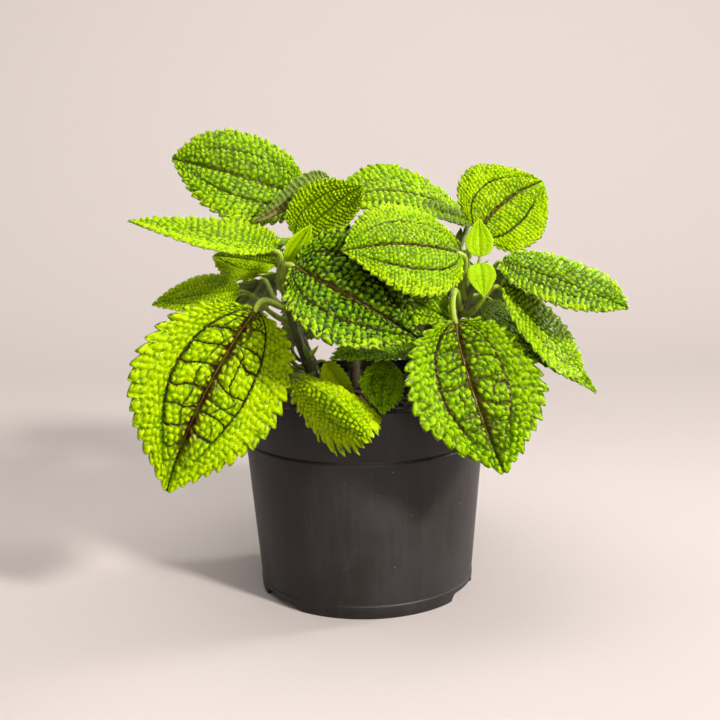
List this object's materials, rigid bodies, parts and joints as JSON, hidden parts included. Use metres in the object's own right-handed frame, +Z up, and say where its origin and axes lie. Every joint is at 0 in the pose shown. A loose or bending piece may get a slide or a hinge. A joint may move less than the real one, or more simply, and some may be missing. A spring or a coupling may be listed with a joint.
{
  "type": "potted friendship plant",
  "caption": "Friendship plant with toothed, quilted leaves on branching stems, growing in soil in a tapered plastic nursery pot with a banded rim.",
  "frame": {"origin": "middle of the pot's underside, on the flat pad that is level with the foot ring, so Z is 0 where the pot stands", "axes": "+Z up along the pot's axis, +Y from the side that the picture shows towards the back, +X to the right in the picture"},
  "size_m": [0.2241, 0.2062, 0.2225],
  "materials": {
    "pot": "satin",
    "soil": "matte",
    "stem": "matte",
    "leaf": "satin"
  },
  "bodies": {
    "root": {"pot": "pot", "soil": "soil", "stem_back": "stem", "stem_back_left": "stem", "stem_back_right": "stem", "stem_front": "stem", "stem_left": "stem", "stem_middle": "stem", "stem_right": "stem", "leaf_back_inner": "leaf", "leaf_back_large": "leaf", "leaf_back_left_inner": "leaf", "leaf_back_left_large": "leaf", "leaf_back_left_side": "leaf", "leaf_back_left_upper": "leaf", "leaf_back_right_inner": "leaf", "leaf_back_right_large": "leaf", "leaf_back_right_side": "leaf", "leaf_back_right_top": "leaf", "leaf_back_right_upper": "leaf", "leaf_back_side": "leaf", "leaf_back_upper": "leaf", "leaf_front_dark": "leaf", "leaf_front_narrow": "leaf", "leaf_front_over_rim": "leaf", "leaf_front_under": "leaf", "leaf_left_centre": "leaf", "leaf_left_large_front": "leaf", "leaf_left_low": "leaf", "leaf_left_outer": "leaf", "leaf_left_small_facing": "leaf", "leaf_left_under": "leaf", "leaf_left_young": "leaf", "leaf_low_back": "leaf", "leaf_low_back_left": "leaf", "leaf_low_left": "leaf", "leaf_low_left_side": "leaf", "leaf_low_middle": "leaf", "leaf_low_right_side": "leaf", "leaf_middle_folded": "leaf", "leaf_middle_right": "leaf", "leaf_middle_top_left": "leaf", "leaf_right_centre": "leaf", "leaf_right_hanging": "leaf", "leaf_right_large_front": "leaf", "leaf_right_outer": "leaf", "leaf_right_top": "leaf", "leaf_right_under": "leaf", "leaf_right_young_down": "leaf", "leaf_right_young_up": "leaf"}
  },
  "joints": []
}
